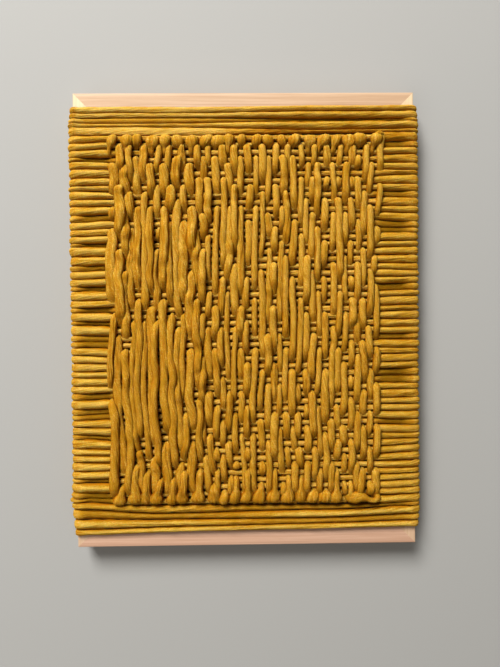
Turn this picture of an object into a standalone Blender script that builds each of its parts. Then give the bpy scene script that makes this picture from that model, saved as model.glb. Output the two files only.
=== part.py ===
"""A woven wall hanging on a stretcher frame, lying on its back.

Four mitred wooden bars make the frame. One cotton cord is wound round it from top to bottom
and makes the warp, a layer of turns in front of the frame and another behind it. A second
length of the same cord is darned up and down through the front layer. It floats over several
turns at a time, dips under one, and turns back round the outermost turn at each end.

Metres, +Z out of the woven face, +Y towards the top edge, origin under the middle of the back.
"""

import math
import random
from collections import namedtuple

import bmesh
import bpy

INCH = 0.0254
MM = 0.001

# The frame, a standard 12 by 16 inch one
FRAME_WIDTH = 12 * INCH
FRAME_HEIGHT = 16 * INCH
BAR_WIDTH = 1.5 * INCH
BAR_DEPTH = 0.75 * INCH
LIP_WIDTH = 4.0 * MM
LIP_STEP = 1.2 * MM
INNER_DROP = 4.0 * MM
EDGE_CHAMFER = 2.0 * MM
GAP = 0.3 * MM

# The wound cord, whose section is wide where it lies on the wood and narrower outside
CORD_THICK = 4.4 * MM
CORD_BASE = 4.2 * MM
CORD_CROWN = 2.6 * MM
TAIL = 45 * MM
TAIL_TILT = 1.0 * MM

# Where the turns lie, from the top edge to the bottom one
TOP_TURNS = 5
WOVEN_TURNS = 52
BOTTOM_TURNS = 4
TOP_TURN_Y = 187.5 * MM
TOP_PITCH = 4.8 * MM
WEAVE_HALF_HEIGHT = 161.5 * MM
BAND_GAP = 7.9 * MM
BOTTOM_PITCH_LEFT = 6.4 * MM
BOTTOM_PITCH_RIGHT = 5.2 * MM
TURN_WANDER = 0.2 * MM

# The darned cord's columns, and how its outer ones bow at the weave's top, middle and bottom
COLUMNS = 42
COLUMNS_HALF_WIDTH = 117 * MM
LEFT_BOW = (-1.6 * MM, 0.0 * MM, 1.6 * MM)
RIGHT_BOW = (3.6 * MM, -1.2 * MM, -0.6 * MM)
SWAY = 0.8 * MM
SWAY_PERIOD_Y = 320 * MM
SWAY_PERIOD_X = 400 * MM
SEED = 11

# Shortest and longest step from one dip to the next, and the least and most turns under a knob
LONG_STEPS = (9, 14)
SHORT_STEPS = (5, 9)
LONG_COLUMNS = 14
SHORT_TOP = 8
TOP_KNOB_TURNS = (2, 3)
BOTTOM_KNOB_TURNS = (2, 5)

# The darned cord's sections: wide at the base and narrower at the crown, loose on the left
FLOAT_HIGH = 4.6 * MM
FLOAT_CROWN = 3.2 * MM
FLOAT_BASE = 5.2 * MM
LOOSE_BASE = (6.2 * MM, 4.2 * MM)
FLOAT_VARIES = 0.12
DIP_HIGH = 1.8 * MM
DIP_BASE = 3.0 * MM
DIP_CROWN = 2.2 * MM
KNOB_HIGH = 5.8 * MM
KNOB_BASE = 9.4 * MM
KNOB_CROWN = 5.2 * MM
KNOB_END_BASE = 7.0 * MM
KNOB_SHIFT = 1.3 * MM
BEFORE_GAP = 1.6 * MM
INSIDE_GAP = 0.6 * MM
BACK_TURN_REACH = 1.6 * MM

# Heights and pitches that follow from the sizes above
FRAME_BACK = CORD_THICK + GAP
FRAME_FRONT = FRAME_BACK + BAR_DEPTH
WARP_LOW = FRAME_FRONT + GAP
WARP_HIGH = WARP_LOW + CORD_THICK
FLOAT_LOW = WARP_HIGH + GAP
DIP_TOP = WARP_LOW - GAP
HALF_WIDTH = FRAME_WIDTH / 2
HALF_HEIGHT = FRAME_HEIGHT / 2
COLUMN_PITCH = 2 * COLUMNS_HALF_WIDTH / (COLUMNS - 1)
LAST_TURN = WOVEN_TURNS - 1
WARP_PITCH = 2 * WEAVE_HALF_HEIGHT / LAST_TURN

# Colours from the photograph: red, green and blue, then roughness
WOOD = ("pale_wood", (0.76, 0.55, 0.36), 0.6)
COTTON = ("mustard_cotton", (0.62, 0.36, 0.055), 0.95)

# One place along the darned cord: its heading in degrees, lowest height and section
Station = namedtuple("Station", "x y heading low high base crown")


def clear_scene():
    for thing in list(bpy.data.objects):
        bpy.data.objects.remove(thing)


def new_collection(name):
    collection = bpy.data.collections.new(name)
    bpy.context.scene.collection.children.link(collection)
    return collection


def new_material(name, colour, roughness):
    material = bpy.data.materials.new(name)
    material.use_nodes = True
    shader = material.node_tree.nodes["Principled BSDF"]
    shader.inputs["Base Color"].default_value = (*colour, 1)
    shader.inputs["Roughness"].default_value = roughness
    shader.inputs["Metallic"].default_value = 0
    return material


def add_object(collection, name, mesh, material):
    thing = bpy.data.objects.new(name, mesh)
    mesh.materials.append(material)
    collection.objects.link(thing)
    return thing


def loft(name, rings):
    """One closed body through rings of equal size, capped at both ends."""
    shape = bmesh.new()
    rows = [[shape.verts.new(point) for point in ring] for ring in rings]
    count = len(rows[0])
    for before, after in zip(rows, rows[1:]):
        for k in range(count):
            nxt = (k + 1) % count
            shape.faces.new((before[k], before[nxt], after[nxt], after[k]))
    shape.faces.new(rows[0])
    shape.faces.new(rows[-1])
    bmesh.ops.recalc_face_normals(shape, faces=shape.faces)
    mesh = bpy.data.meshes.new(name)
    shape.to_mesh(mesh)
    shape.free()
    return mesh


# Frame

def bar_section():
    """The bar's outline as (distance in from its outer edge, height above its back)."""
    return [
        (EDGE_CHAMFER, 0),
        (0, EDGE_CHAMFER),
        (0, BAR_DEPTH - EDGE_CHAMFER),
        (EDGE_CHAMFER, BAR_DEPTH),
        (LIP_WIDTH, BAR_DEPTH),
        (LIP_WIDTH + LIP_STEP, BAR_DEPTH - LIP_STEP),
        (BAR_WIDTH, BAR_DEPTH - INNER_DROP),
        (BAR_WIDTH, 0),
    ]


def mitred_bar(name, length):
    """A bar along X with its outer edge on Y 0. Its ends are cut at 45 degrees."""
    reach = length / 2 - GAP
    rings = []
    for side in (-1, 1):
        rings.append([(side * (reach - inward), -inward, height) for inward, height in bar_section()])
    return loft(name, rings)


def add_frame(collection, material):
    places = (
        ("bar_top", FRAME_WIDTH, HALF_HEIGHT, 0),
        ("bar_left", FRAME_HEIGHT, HALF_WIDTH, 90),
        ("bar_bottom", FRAME_WIDTH, HALF_HEIGHT, 180),
        ("bar_right", FRAME_HEIGHT, HALF_WIDTH, 270),
    )
    for name, length, distance, turn in places:
        bar = add_object(collection, name, mitred_bar(name, length), material)
        angle = math.radians(turn)
        bar.rotation_euler.z = angle
        bar.location = (-distance * math.sin(angle), distance * math.cos(angle), FRAME_BACK)


# Warp

def turn_heights():
    """(left, right) places along Y of each turn, from the top one down."""
    draw = random.Random(SEED)
    turns = []
    for n in range(TOP_TURNS):
        y = TOP_TURN_Y - n * TOP_PITCH
        turns.append((y, y))
    for n in range(WOVEN_TURNS):
        y = WEAVE_HALF_HEIGHT - n * WARP_PITCH
        turns.append((y + draw.uniform(-1, 1) * TURN_WANDER, y + draw.uniform(-1, 1) * TURN_WANDER))
    band = -WEAVE_HALF_HEIGHT - BAND_GAP
    for n in range(BOTTOM_TURNS):
        turns.append((band - n * BOTTOM_PITCH_LEFT, band - n * BOTTOM_PITCH_RIGHT))
    return turns


def bends_round_frame(away):
    """A turn's eight bends round the frame as (x, z), this far from the wood."""
    side = HALF_WIDTH + away
    face = HALF_WIDTH - EDGE_CHAMFER + away * math.tan(math.radians(22.5))
    inset = HALF_WIDTH - face
    back, front = FRAME_BACK, FRAME_FRONT
    left = [(-face, back - away), (-side, back + inset), (-side, front - inset), (-face, front + away)]
    return left + [(-x, z) for x, z in reversed(left)]


def warp_rings(turns):
    inner = bends_round_frame(GAP)
    outer = bends_round_frame(GAP + CORD_THICK)

    def ring(bend, y, shift=0):
        (x_in, z_in), (x_out, z_out) = inner[bend], outer[bend]
        base, crown = CORD_BASE / 2, CORD_CROWN / 2
        return [
            (x_in + shift, y - base, z_in),
            (x_in + shift, y + base, z_in),
            (x_out + shift, y + crown, z_out),
            (x_out + shift, y - crown, z_out),
        ]

    rings = [ring(0, turns[0][0] + TAIL_TILT, TAIL)]
    for left, right in turns:
        for bend in range(8):
            rings.append(ring(bend, left if bend < 4 else right))
    rings.append(ring(7, turns[-1][1] - TAIL_TILT, -TAIL))
    return rings


# Weft

def columns_of_dips(draw):
    """For each column, the warp turns that it passes under, counted from the weave's top.

    A dip keeps off the turns that the column before it dips under, where it can.
    """
    columns = []
    beside = []
    for column in range(COLUMNS):
        goes_up = column % 2 == 0
        end = LAST_TURN - 1 if goes_up else LAST_TURN - draw.randint(*BOTTOM_KNOB_TURNS)
        dips = [draw.randint(*TOP_KNOB_TURNS)] if goes_up else [0]
        while True:
            loose = column < LONG_COLUMNS and dips[-1] > SHORT_TOP
            low, high = LONG_STEPS if loose else SHORT_STEPS
            steps = range(dips[-1] + low, dips[-1] + high + 1)
            free = [n for n in steps if all(abs(n - other) > 1 for other in beside)]
            place = draw.choice(free or list(steps))
            if place > end - 2:
                break
            dips.append(place)
        dips.append(LAST_TURN if goes_up else end)
        columns.append(dips)
        beside = dips
    return columns


def bowed(x, y):
    """Where a place of the even grid of columns really is across the hanging."""
    up = y / WEAVE_HALF_HEIGHT
    left, right = (
        middle + (top - bottom) / 2 * up + ((top + bottom) / 2 - middle) * up * up
        for top, middle, bottom in (LEFT_BOW, RIGHT_BOW)
    )
    share = (x / COLUMNS_HALF_WIDTH + 1) / 2
    sway = SWAY * math.sin(2 * math.pi * (y / SWAY_PERIOD_Y + x / SWAY_PERIOD_X))
    return x + left * (1 - share) + right * share + sway


def weft_stations(turns):
    """The darned cord's stations from end to end, on an even grid of columns."""
    draw = random.Random(SEED)
    woven = turns[TOP_TURNS:TOP_TURNS + WOVEN_TURNS]

    def turn_y(n, x):
        """Place of turn n of the weave at x. Just past either end it is one pitch further."""
        left, right = woven[min(max(n, 0), LAST_TURN)]
        beyond = min(n, 0) + max(n - LAST_TURN, 0)
        share = (x + HALF_WIDTH) / FRAME_WIDTH
        return left + (right - left) * share - beyond * WARP_PITCH

    def below(n, x):
        """The middle of the gap below turn n."""
        return (turn_y(n, x) + turn_y(n + 1, x)) / 2

    def over(x, y, base, full=1.0):
        crown = FLOAT_CROWN * full * base / FLOAT_BASE
        return Station(x, y, -90, FLOAT_LOW, FLOAT_HIGH * full, base, crown)

    def under(x, y, heading=-90):
        return Station(x, y, heading, DIP_TOP - DIP_HIGH, DIP_HIGH, DIP_BASE, DIP_CROWN)

    def knob(x, y, outer_y):
        """The lump where the cord rides over the weave's outermost turn, from its middle out."""
        return [
            Station(x + KNOB_SHIFT, y, -90, FLOAT_LOW, KNOB_HIGH, KNOB_BASE, KNOB_CROWN),
            Station(x + KNOB_SHIFT, outer_y, -90, FLOAT_LOW, FLOAT_HIGH, KNOB_END_BASE, FLOAT_CROWN),
        ]

    def column_down(column, x, dips):
        """One column from the top of the weave to its bottom."""
        goes_up = column % 2 == 0
        base = LOOSE_BASE[column % 2] if column < LONG_COLUMNS else FLOAT_BASE
        stations = []
        full = 1.0
        if goes_up:
            stations += reversed(knob(x, turn_y(0, x), below(-1, x) - BEFORE_GAP))
            stations.append(over(x, below(0, x) - BEFORE_GAP, base))
        for dip in dips:
            if dip > 0:
                stations.append(over(x, below(dip - 1, x) + BEFORE_GAP, base, full))
                stations.append(under(x, below(dip - 1, x) - INSIDE_GAP))
            full = 1 + draw.uniform(-1, 1) * FLOAT_VARIES
            if dip < LAST_TURN:
                stations.append(under(x, below(dip, x) + INSIDE_GAP))
                stations.append(over(x, below(dip, x) - BEFORE_GAP, base, full))
        if not goes_up:
            stations.append(over(x, below(LAST_TURN - 1, x) + BEFORE_GAP, base))
            stations += knob(x, turn_y(LAST_TURN, x), below(LAST_TURN, x) + BEFORE_GAP)
        return stations

    path = []
    for column, dips in enumerate(columns_of_dips(draw)):
        x = -COLUMNS_HALF_WIDTH + column * COLUMN_PITCH
        stations = column_down(column, x, dips)
        edge, heading, reach = below(LAST_TURN, x) - INSIDE_GAP, -90, -BACK_TURN_REACH
        if column % 2 == 0:
            stations = [station._replace(heading=90) for station in reversed(stations)]
            edge, heading, reach = below(-1, x) + INSIDE_GAP, 90, BACK_TURN_REACH
        path += stations
        path.append(under(x, edge, heading))
        if column < COLUMNS - 1:
            path.append(under(x + COLUMN_PITCH / 2, edge + reach, 0))
            path.append(under(x + COLUMN_PITCH, edge, -heading))
    return path


def weft_rings(turns):
    rings = []
    for x, y, heading, low, high, base, crown in weft_stations(turns):
        angle = math.radians(heading)
        aside_x, aside_y = math.sin(angle), -math.cos(angle)
        x = bowed(x, y)
        corners = ((-base / 2, low), (base / 2, low), (crown / 2, low + high), (-crown / 2, low + high))
        rings.append([(x + aside_x * aside, y + aside_y * aside, z) for aside, z in corners])
    return rings


def build():
    clear_scene()
    hanging = new_collection("woven_wall_hanging")
    wood = new_material(*WOOD)
    cotton = new_material(*COTTON)
    add_frame(hanging, wood)
    turns = turn_heights()
    add_object(hanging, "warp", loft("warp", warp_rings(turns)), cotton)
    add_object(hanging, "weft", loft("weft", weft_rings(turns)), cotton)


build()
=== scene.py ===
import math
import random

import bpy
import numpy as np
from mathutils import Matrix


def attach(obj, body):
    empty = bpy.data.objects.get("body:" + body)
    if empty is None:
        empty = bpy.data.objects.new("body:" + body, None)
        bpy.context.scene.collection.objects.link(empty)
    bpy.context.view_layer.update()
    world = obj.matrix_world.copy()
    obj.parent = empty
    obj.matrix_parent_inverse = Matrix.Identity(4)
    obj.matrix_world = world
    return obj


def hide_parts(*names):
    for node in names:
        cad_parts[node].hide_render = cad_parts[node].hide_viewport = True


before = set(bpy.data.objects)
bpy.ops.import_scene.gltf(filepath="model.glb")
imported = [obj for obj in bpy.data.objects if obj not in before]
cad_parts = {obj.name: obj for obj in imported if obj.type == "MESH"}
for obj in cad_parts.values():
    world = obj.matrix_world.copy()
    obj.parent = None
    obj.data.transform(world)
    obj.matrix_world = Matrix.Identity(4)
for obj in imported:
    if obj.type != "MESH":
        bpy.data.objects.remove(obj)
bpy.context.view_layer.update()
MM = 0.001


# The stretcher frame
# Four bars of planed, unvarnished pale wood. Each is cut to a mitre at both ends and pushed
# together dry, so the grain runs along every bar and turns the corner at a sharp line.

def plug(tree, node, values):
    """Gives a node's sockets their values, each a number or another node's output."""
    for socket, value in values:
        if isinstance(value, bpy.types.NodeSocket):
            tree.links.new(value, node.inputs[socket])
        else:
            node.inputs[socket].default_value = value


def add_node(tree, kind, values=(), **settings):
    """A shader node with these settings and (socket, value) pairs."""
    node = tree.nodes.new("ShaderNode" + kind)
    for key, setting in settings.items():
        setattr(node, key, setting)
    plug(tree, node, values)
    return node


def noise(tree, place, detail, scale=1, distortion=0):
    """The strength of a soft noise at the place."""
    return add_node(tree, "TexNoise", [
        ("Vector", place), ("Detail", detail), ("Scale", scale), ("Distortion", distortion),
    ]).outputs["Fac"]


def new_material(name):
    """A material, with its node tree and its shader."""
    material = bpy.data.materials.new(name)
    material.use_nodes = True
    return material, material.node_tree, material.node_tree.nodes["Principled BSDF"]


# Where a Mix node has its sockets for colours
MIX_SHARE, MIX_FIRST, MIX_SECOND, MIX_RESULT = 0, 6, 7, 2


def blend_colours(tree, share, first, second, how="MIX"):
    """The colour output of a mix of two colours or colour outputs."""
    values = [(MIX_SHARE, share), (MIX_FIRST, first), (MIX_SECOND, second)]
    mix = add_node(tree, "Mix", values, data_type="RGBA", blend_type=how)
    return mix.outputs[MIX_RESULT]


def ramp(tree, value, stops):
    """A grey ramp from value through (place, grey) stops."""
    node = add_node(tree, "ValToRGB", [("Fac", value)])
    while len(node.color_ramp.elements) < len(stops):
        node.color_ramp.elements.new(0.5)
    for element, (place, grey) in zip(node.color_ramp.elements, stops):
        element.position = place
        element.color = (grey, grey, grey, 1)
    return node.outputs["Color"]


def wood_grain_group():
    """Straight grain along X: broad soft bands, fine streaks and short dark pores."""
    group = bpy.data.node_groups.new("planed wood grain", "ShaderNodeTree")
    for name, kind in (("Place", "Vector"), ("Pale wood", "Color"), ("Late wood", "Color")):
        group.interface.new_socket(name, in_out="INPUT", socket_type="NodeSocket" + kind)
    for name, kind in (("Colour", "Color"), ("Height", "Float"), ("Roughness", "Float")):
        group.interface.new_socket(name, in_out="OUTPUT", socket_type="NodeSocket" + kind)
    start = group.nodes.new("NodeGroupInput")
    end = group.nodes.new("NodeGroupOutput")

    def along(across, down):
        """The place on the bar, squeezed so that what is drawn there runs with the grain."""
        node = add_node(group, "Mapping", [
            ("Vector", start.outputs["Place"]), ("Scale", (down, across, across))])
        return node.outputs["Vector"]

    bands = noise(group, along(90, 4), detail=3, distortion=0.6)
    streaks = noise(group, along(900, 16), detail=4)
    pores = noise(group, along(2600, 110), detail=2)
    rings = add_node(group, "TexWave", [
        ("Vector", along(1, 0.05)), ("Scale", 55), ("Distortion", 5),
        ("Detail", 2), ("Detail Scale", 1.5)], wave_type="RINGS", rings_direction="X")
    band_mask = ramp(group, bands, [(0.35, 0), (0.7, 1)])
    streak_mask = ramp(group, streaks, [(0.4, 0), (0.75, 1)])
    ring_mask = ramp(group, rings.outputs["Fac"], [(0.55, 0), (1.0, 0.55)])
    pore_mask = ramp(group, pores, [(0.6, 0), (0.75, 0.5)])
    colour = blend_colours(group, band_mask, start.outputs["Pale wood"], start.outputs["Late wood"])
    late = blend_colours(group, LATE_DEPTH, colour, start.outputs["Late wood"], "MULTIPLY")
    for mask in (ring_mask, streak_mask, pore_mask):
        colour = blend_colours(group, mask, colour, late)
    rough = add_node(group, "MapRange", [("Value", streaks), ("To Min", 0.5), ("To Max", 0.68)])
    height = add_node(group, "Math", [(0, streak_mask), (1, -1.0)], operation="MULTIPLY")
    plug(group, end, [
        ("Colour", colour), ("Height", height.outputs[0]), ("Roughness", rough.outputs["Result"])])
    return group


def bar_material(name, turn, place, pale, late, low_tint):
    """One bar's wood, its grain turned to run along it, with low_tint at the hanging's foot."""
    material, tree, shader = new_material(name)
    spot = add_node(tree, "TexCoord")
    lie = add_node(tree, "Mapping", [
        ("Vector", spot.outputs["Object"]), ("Location", place),
        ("Rotation", (0, 0, math.radians(turn)))])
    grain = add_node(tree, "Group", [
        ("Place", lie.outputs["Vector"]), ("Pale wood", (*pale, 1)), ("Late wood", (*late, 1))],
        node_tree=wood_grain)
    relief = add_node(tree, "Bump", [
        ("Height", grain.outputs["Height"]), ("Strength", 0.25), ("Distance", 0.0002)])
    split = add_node(tree, "SeparateXYZ", [("Vector", spot.outputs["Object"])])
    low_end = add_node(tree, "MapRange", [
        ("Value", split.outputs["Y"]), ("From Min", TINT_START), ("From Max", TINT_FULL)])
    pinker = blend_colours(tree, 1.0, grain.outputs["Colour"], (*low_tint, 1), "MULTIPLY")
    colour = blend_colours(tree, low_end.outputs["Result"], grain.outputs["Colour"], pinker)
    plug(tree, shader, [
        ("Base Color", colour), ("Roughness", grain.outputs["Roughness"]),
        ("Normal", relief.outputs["Normal"])])
    return material


def select_front_edge(bar, outer, inwards):
    """In edit mode, selects the edge along the bar's face that lies inwards from outer."""
    bpy.ops.mesh.select_all(action="DESELECT")
    bpy.ops.object.mode_set(mode="OBJECT")
    mesh = bar.data
    chosen = {
        v.index for v in mesh.vertices
        if v.co.z > BAR_FRONT - FACE_REACH and abs(v.co.y - outer + inwards) < NEAR}
    for vertex in mesh.vertices:
        vertex.select = vertex.index in chosen
    for edge in mesh.edges:
        edge.select = set(edge.vertices) <= chosen
    for face in mesh.polygons:
        face.select = set(face.vertices) <= chosen
    bpy.ops.object.mode_set(mode="EDIT")


def planed_bar(name, length, outer, turn):
    """One bar, cut as the top one, with its outer edge at outer, then turned to its own side."""
    bpy.ops.object.select_all(action="DESELECT")
    middle = (0, outer - BAR_WIDTH / 2, BAR_FRONT - BAR_DEPTH / 2)
    bpy.ops.mesh.primitive_cube_add(size=1, location=middle)
    bar = bpy.context.object
    bar.name = bar.data.name = name
    bar.scale = (length, BAR_WIDTH, BAR_DEPTH)
    bpy.ops.object.transform_apply(location=True, rotation=True, scale=True)
    bpy.ops.object.mode_set(mode="EDIT")
    for side in (1, -1):
        bpy.ops.mesh.select_all(action="SELECT")
        bpy.ops.mesh.bisect(
            plane_co=(side * (length / 2 - MITRE_GAP), outer, 0), plane_no=(side, -1, 0),
            use_fill=True, clear_outer=True)
    for inwards in (LIP_WIDTH, HOLLOW_START):
        bpy.ops.mesh.select_all(action="SELECT")
        bpy.ops.mesh.bisect(plane_co=(0, outer - inwards, 0), plane_no=(0, 1, 0))
    for inwards, drop in ((HOLLOW_START, LIP_DROP), (BAR_WIDTH, INNER_DROP)):
        select_front_edge(bar, outer, inwards)
        bpy.ops.transform.translate(value=(0, 0, -drop))
    for inwards, width in ((0, ARRIS), (LIP_WIDTH, LIP_SOFTENING), (BAR_WIDTH, ARRIS)):
        select_front_edge(bar, outer, inwards)
        bpy.ops.mesh.bevel(offset=width, segments=4, affect="EDGES")
    bpy.ops.mesh.select_all(action="SELECT")
    bpy.ops.mesh.normals_make_consistent(inside=False)
    bpy.ops.object.mode_set(mode="OBJECT")
    bar.rotation_euler.z = math.radians(turn)
    bpy.ops.object.transform_apply(location=True, rotation=True, scale=True)
    bpy.ops.object.shade_smooth_by_angle(angle=SMOOTH_BELOW)
    return bar


FRAME_WIDTH, FRAME_HEIGHT = 304.8 * MM, 406.4 * MM
BAR_WIDTH, BAR_DEPTH, BAR_FRONT = 38.1 * MM, 19.05 * MM, 23.75 * MM
LIP_WIDTH, HOLLOW_START, LIP_DROP, INNER_DROP = 3.4 * MM, 9.5 * MM, 0.1 * MM, 2.6 * MM
ARRIS, LIP_SOFTENING, MITRE_GAP = 0.7 * MM, 0.5 * MM, 0.06 * MM
FACE_REACH, NEAR = 5 * MM, 0.01 * MM
SMOOTH_BELOW = math.radians(35)
LATE_DEPTH = 0.35
TINT_START, TINT_FULL = -150 * MM, -185 * MM
# Pale wood, late wood, and the tint at the hanging's foot
CROSS_WOOD = (0.555, 0.402, 0.273), (0.53, 0.37, 0.243), (1.02, 0.95, 1.03)
SIDE_WOOD = (0.71, 0.58, 0.40), (0.67, 0.53, 0.355), (0.82, 0.73, 0.74)
wood_grain = wood_grain_group()
for name, length, outer, turn, place, wood in (
    ("bar_top", FRAME_WIDTH, FRAME_HEIGHT / 2, 0, (0.31, 0.02, 0.05), CROSS_WOOD),
    ("bar_bottom", FRAME_WIDTH, FRAME_HEIGHT / 2, 180, (1.34, 0.17, 0.02), CROSS_WOOD),
    ("bar_left", FRAME_HEIGHT, FRAME_WIDTH / 2, 90, (2.51, 0.05, 0.09), SIDE_WOOD),
    ("bar_right", FRAME_HEIGHT, FRAME_WIDTH / 2, -90, (3.77, 0.11, 0.04), SIDE_WOOD),
):
    bar = planed_bar("planed_" + name, length, outer, turn)
    bar.data.materials.append(bar_material(name + " wood", turn, place, *wood))
    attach(bar, "root")
    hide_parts(name)


# The wound cord
# One length of soft single-strand cotton, about 5 mm across, wound round the frame from top to
# bottom. It lies flattened on the wood, draws together in pairs at the edges, and is pulled
# narrow where the other cord is darned through it.

WOOD_BACK, WOOD_FRONT = 4.7 * MM, 23.75 * MM
CORD_HIGH = 2.35 * MM
TOP_TURNS, WOVEN_TURNS, BOTTOM_TURNS = 5, 52, 4
TOP_TURN_Y, TOP_PITCH = 187.5 * MM, 4.8 * MM
WEAVE_HALF_HEIGHT, BAND_GAP = 161.5 * MM, 7.9 * MM
BOTTOM_PITCH_LEFT, BOTTOM_PITCH_RIGHT = 6.4 * MM, 5.2 * MM
TURN_WANDER = 0.2 * MM
LAST_TURN = WOVEN_TURNS - 1
WARP_PITCH = 2 * WEAVE_HALF_HEIGHT / LAST_TURN
SEED = 11
FIRST_LOW_TURN = TOP_TURNS + WOVEN_TURNS
TURNS = FIRST_LOW_TURN + BOTTOM_TURNS


def turn_heights():
    """(left, right) places along Y of each turn, the top one first, as in the solids."""
    draw = random.Random(SEED)
    turns = []
    for n in range(TOP_TURNS):
        y = TOP_TURN_Y - n * TOP_PITCH
        turns.append((y, y))
    for n in range(WOVEN_TURNS):
        y = WEAVE_HALF_HEIGHT - n * WARP_PITCH
        left = y + draw.uniform(-1, 1) * TURN_WANDER
        turns.append((left, y + draw.uniform(-1, 1) * TURN_WANDER))
    band = -WEAVE_HALF_HEIGHT - BAND_GAP
    for n in range(BOTTOM_TURNS):
        turns.append((band - n * BOTTOM_PITCH_LEFT, band - n * BOTTOM_PITCH_RIGHT))
    return turns


def ease(share):
    """0 to 1 with a soft start and end."""
    share = np.clip(share, 0, 1)
    return share * share * (3 - 2 * share)


def wander(draw, count, spacing):
    """count values between -1 and 1 that change smoothly, with a new one drawn every spacing."""
    knots = draw.uniform(-1, 1, int(count / spacing) + 3)
    place = np.arange(count) / spacing
    step = place.astype(int)
    share = ease(place - step)
    return knots[step] * (1 - share) + knots[step + 1] * share


def spread(places, closest):
    """Moves the turns' places along an edge until no two are nearer than closest."""
    rounds, homeward = 300, 0.02
    home = places.copy()
    for _ in range(rounds):
        push = np.minimum(places[:-1] - places[1:] - closest, 0) / 2
        places[:-1] -= push
        places[1:] += push
        places += (home - places) * homeward
    return places


def from_left_to_right(left, right):
    """The left side's value that turns softly into the right side's across the middle."""
    return left * (1 - right_share) + right * right_share


# Turns across the face: place along Y, half width, half height and the rest at each step. A band
# is the close turns above or below the weave, and a margin is where the turns show beside it.
# A pair of lists is for the left and right ends of the first turns (TOP) or the last ones (LOW).
FACE_STEPS, HALF_WIDTH = 122, FRAME_WIDTH / 2
MARGIN_START, MARGIN_FULL, MIDDLE_REACH = 112 * MM, 124 * MM, 60 * MM
FAN_LENGTH, LOW_FAN_START, LOW_FAN_LENGTH = 34 * MM, 78 * MM, 72 * MM
# How far a turn's end strays and how near the next one it may come, in mm
BAND_SHIFT, MARGIN_SHIFT, BAND_CLOSEST, MARGIN_CLOSEST = 0.5, 2.0, 4.0, 4.4
LOW_SHIFT = (1.2, 5.6, 4.2, -1.2, -0.6), (0.5, 3.0, 2.2, 2.0, 0.2)
# Which turns are sunk between their neighbours, and how deep
SINK_CHANCE, SINK_AGAIN, SINK_DEPTH = (0.34, 0.16), 0.25, (0.6, 1.0)
TOP_SUNK = (0.0, 0.0, 0.2, 0.1, 0.0, 0.1), (0.0, 0.0, 0.85, 0.0, 0.2, 0.1)
LOW_SUNK = (0.1, 0.4, 0.0, 0.0), (0.5, 0.0, 0.3, 0.0)
# How much of its width a turn gives to its neighbours, in shares of SLIM_SHIFT mm
SLIM_SUNK, SLIM_RANGE, SLIM_SHIFT = 0.4, (-0.2, 0.3), 1.9
TOP_SLIM = (-0.2, 0.1, 0.1, 0.1, -0.4), (0.2, 0.0, 0.6, -0.3, 0.5)
# How far a turn stands out round the frame's side, in shares of its half height
SIDE_SWELL = 0.88, 1.08
TOP_SWELL = (0.66, 0.8, 0.92), (0.7, 0.84, 0.94)
LOW_SWELL = (1.2, 1.45, 1.1, 0.95, 0.72, 0.55), (1.0, 1.0, 0.95, 0.95, 0.85, 0.7)
COMMON_WANDER, FINE_WANDER, BAND_WANDER, WOVEN_WANDER = 0.6 * MM, 0.07 * MM, 0.5, 0.1
FIRST_ROOM, LAST_ROOM, EDGE_REACH, BAND_LIFT = 2.5 * MM, 2.7 * MM, 26 * MM, 1.4 * MM
# The crown, which fades at the frame's side as a sunk turn's depth does
CROWN_RANGE, CROWN_RIGHT_LESS, CROWN_TOP_LESS, CROWN_LOW_MORE = (0.32, 0.58), 0.07, 0.22, 0.06
CROWN_END, SINK_END = 12 * MM, 14 * MM
NARROWEST, WIDEST, WOVEN_HALF, LOW_NARROWER = 1.7 * MM, 5.4 * MM, 2.35 * MM, 0.94
# Half heights, in shares of CORD_HIGH
WOVEN_HIGH, MARGIN_HIGH, MARGIN_END_LESS = 1.22, 1.26, 0.14
TOP_HIGH, TOP_RIGHT_MORE, LOW_HIGH = 0.84, 0.42, (1.36, 1.36, 1.24, 1.06)
# How much painted shade browns a sunk turn, and how much painted light makes the others paler
SUNK_PAINTED_SHADE, TOP_PAINTED_LIGHT, TOP_LEFT_PAINTED_LIGHT, MARGIN_LEFT_PAINTED_LIGHT, PAINTED_LIGHT = 0.85, 0.01, 0.09, 0.045, 0.05

face_x = np.linspace(-HALF_WIDTH, HALF_WIDTH, FACE_STEPS)
draw = np.random.RandomState(SEED)
left_base, right_base = np.array(turn_heights()).T
in_band = np.ones(TURNS, dtype=bool)
in_band[TOP_TURNS:FIRST_LOW_TURN] = False
shift = draw.uniform(-1, 1, (2, TURNS)) * np.where(in_band, BAND_SHIFT, MARGIN_SHIFT) * MM
shift[:, -5:] = np.array(LOW_SHIFT) * MM
closest = np.where(in_band, BAND_CLOSEST, MARGIN_CLOSEST)[1:] * MM
edge_left = spread(left_base + shift[0], closest)
edge_right = spread(right_base + shift[1], closest)
sunk = np.zeros((2, TURNS))
for n in range(2, TURNS):
    for side, chance in enumerate(SINK_CHANCE):
        if sunk[side, n - 1] > 0:
            chance = SINK_AGAIN
        if draw.uniform() < chance and sunk[side, n - 2:n].min() == 0:
            sunk[side, n] = draw.uniform(*SINK_DEPTH)
sunk[:, :TOP_TURNS + 1] = TOP_SUNK
sunk[:, -BOTTOM_TURNS:] = LOW_SUNK
slim = SLIM_SUNK * sunk + draw.uniform(*SLIM_RANGE, (2, TURNS))
slim[:, :TOP_TURNS] = TOP_SLIM
side_swell = draw.uniform(*SIDE_SWELL, (2, TURNS))
side_swell[:, :3] = TOP_SWELL
side_swell[:, -6:] = LOW_SWELL

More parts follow.
